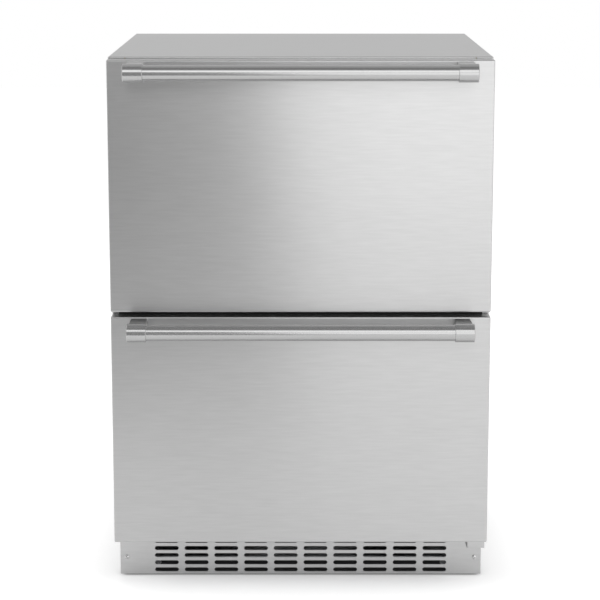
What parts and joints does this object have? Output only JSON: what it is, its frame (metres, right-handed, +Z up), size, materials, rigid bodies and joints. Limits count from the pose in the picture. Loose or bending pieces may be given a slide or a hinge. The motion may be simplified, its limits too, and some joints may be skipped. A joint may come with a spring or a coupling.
{
  "type": "undercounter drawer refrigerator",
  "caption": "Undercounter refrigerator with stacked stainless drawers on telescopic runners, bar handles, slotted toe grille, rear machine bay and levelling feet.",
  "frame": {"origin": "on the floor, under the middle of the box that holds the whole object, handles included", "axes": "+Z up, +X to the right as seen from the front, drawers open towards -Y"},
  "size_m": [0.606, 0.6595, 0.876],
  "materials": {
    "stainless_wrapper": "brushed stainless steel sheet, satin",
    "stainless_front": "brushed stainless steel, fine horizontal grain, satin",
    "stainless_handle": "satin stainless steel tube, turned grain",
    "stainless_grille": "satin stainless steel sheet",
    "galvanised_sheet": "galvanised steel with a faint spangle",
    "runner_steel": "bright zinc plated steel",
    "screw_steel": "polished steel",
    "foot_steel": "zinc plated steel",
    "foam": "rigid polyurethane foam, matte",
    "liner_plastic": "white moulded plastic, satin",
    "bin_plastic": "pale grey moulded plastic, satin",
    "black_plastic": "black moulded plastic, satin",
    "fan_plastic": "dark grey moulded plastic, satin",
    "motor_paint": "dark grey paint, satin",
    "gasket_rubber": "black flexible vinyl, matte",
    "compressor_paint": "black enamel, gloss",
    "copper": "copper tube, satin",
    "coil_aluminium": "bare aluminium fins, satin",
    "drain_plastic": "natural plastic tube",
    "box_paint": "light grey powder coat, satin",
    "touch_glass": "black gloss touch face",
    "light_lens": "milky light lens, satin"
  },
  "bodies": {
    "cabinet": {"outer_wrapper": "stainless_wrapper", "back_panel": "galvanised_sheet", "cabinet_foam": "foam", "cabinet_liner": "liner_plastic", "bottom_deck": "galvanised_sheet", "center_mullion": "black_plastic", "base_pan": "galvanised_sheet", "toe_grille": "stainless_grille", "grille_screws": "screw_steel", "corner_bracket": "stainless_grille", "bay_cover": "galvanised_sheet", "cord_gland": "black_plastic", "compressor": "compressor_paint", "compressor_grommets": "gasket_rubber", "condenser": "compressor_paint", "fan_shroud": "black_plastic", "condenser_fan_motor": "motor_paint", "condensate_tray": "black_plastic", "drain_tube": "drain_plastic", "refrigerant_lines": "copper", "filter_drier": "copper", "evaporator": "coil_aluminium", "evaporator_cover": "liner_plastic", "evaporator_fan_motor": "motor_paint", "control_box": "box_paint", "touch_control": "touch_glass", "light_strip": "light_lens", "upper_outer_runners": "runner_steel", "lower_outer_runners": "runner_steel"},
    "condenser_fan": {"condenser_fan_rotor": "fan_plastic"},
    "evaporator_fan": {"evaporator_fan_rotor": "fan_plastic"},
    "upper_drawer": {"upper_front_skin": "stainless_front", "upper_front_foam": "foam", "upper_inner_panel": "liner_plastic", "upper_gasket": "gasket_rubber", "upper_bin": "bin_plastic", "upper_inner_runners": "runner_steel", "upper_handle_bar": "stainless_handle", "upper_left_handle_post": "stainless_handle", "upper_right_handle_post": "stainless_handle", "upper_handle_screws": "screw_steel"},
    "lower_drawer": {"lower_front_skin": "stainless_front", "lower_front_foam": "foam", "lower_inner_panel": "liner_plastic", "lower_gasket": "gasket_rubber", "lower_bin": "bin_plastic", "lower_inner_runners": "runner_steel", "lower_handle_bar": "stainless_handle", "lower_left_handle_post": "stainless_handle", "lower_right_handle_post": "stainless_handle", "lower_handle_screws": "screw_steel"},
    "upper_left_runner": {"upper_left_mid_runner": "runner_steel"},
    "upper_right_runner": {"upper_right_mid_runner": "runner_steel"},
    "lower_left_runner": {"lower_left_mid_runner": "runner_steel"},
    "lower_right_runner": {"lower_right_mid_runner": "runner_steel"},
    "front_left_leveller": {"front_left_foot": "foot_steel"},
    "front_right_leveller": {"front_right_foot": "foot_steel"},
    "rear_left_leveller": {"rear_left_foot": "foot_steel"},
    "rear_right_leveller": {"rear_right_foot": "foot_steel"}
  },
  "joints": [
    {"name": "upper_drawer_slide", "type": "slide", "parent": "cabinet", "child": "upper_drawer", "axis": [0, -1, 0], "range_m": [0, 0.4]},
    {"name": "lower_drawer_slide", "type": "slide", "parent": "cabinet", "child": "lower_drawer", "axis": [0, -1, 0], "range_m": [0, 0.4]},
    {"name": "upper_left_runner_slide", "type": "slide", "parent": "cabinet", "child": "upper_left_runner", "axis": [0, -1, 0], "range_m": [0, 0.2]},
    {"name": "upper_right_runner_slide", "type": "slide", "parent": "cabinet", "child": "upper_right_runner", "axis": [0, -1, 0], "range_m": [0, 0.2]},
    {"name": "lower_left_runner_slide", "type": "slide", "parent": "cabinet", "child": "lower_left_runner", "axis": [0, -1, 0], "range_m": [0, 0.2]},
    {"name": "lower_right_runner_slide", "type": "slide", "parent": "cabinet", "child": "lower_right_runner", "axis": [0, -1, 0], "range_m": [0, 0.2]},
    {"name": "condenser_fan_spin", "type": "hinge", "parent": "cabinet", "child": "condenser_fan", "pos_m": [-0.191, 0.19745, 0.1147], "axis": [0, 1, 0], "continuous": true},
    {"name": "evaporator_fan_spin", "type": "hinge", "parent": "cabinet", "child": "evaporator_fan", "pos_m": [0, 0.23355, 0.7718], "axis": [0, 1, 0], "continuous": true},
    {"name": "front_left_foot_screw", "type": "slide", "parent": "cabinet", "child": "front_left_leveller", "axis": [0, 0, -1], "range_m": [0, 0.025]},
    {"name": "front_right_foot_screw", "type": "slide", "parent": "cabinet", "child": "front_right_leveller", "axis": [0, 0, -1], "range_m": [0, 0.025]},
    {"name": "rear_left_foot_screw", "type": "slide", "parent": "cabinet", "child": "rear_left_leveller", "axis": [0, 0, -1], "range_m": [0, 0.025]},
    {"name": "rear_right_foot_screw", "type": "slide", "parent": "cabinet", "child": "rear_right_leveller", "axis": [0, 0, -1], "range_m": [0, 0.025]}
  ],
  "couplings": [
    {"joint": "upper_left_runner_slide", "follows": "upper_drawer_slide", "ratio": 0.5},
    {"joint": "upper_right_runner_slide", "follows": "upper_drawer_slide", "ratio": 0.5},
    {"joint": "lower_left_runner_slide", "follows": "lower_drawer_slide", "ratio": 0.5},
    {"joint": "lower_right_runner_slide", "follows": "lower_drawer_slide", "ratio": 0.5}
  ]
}
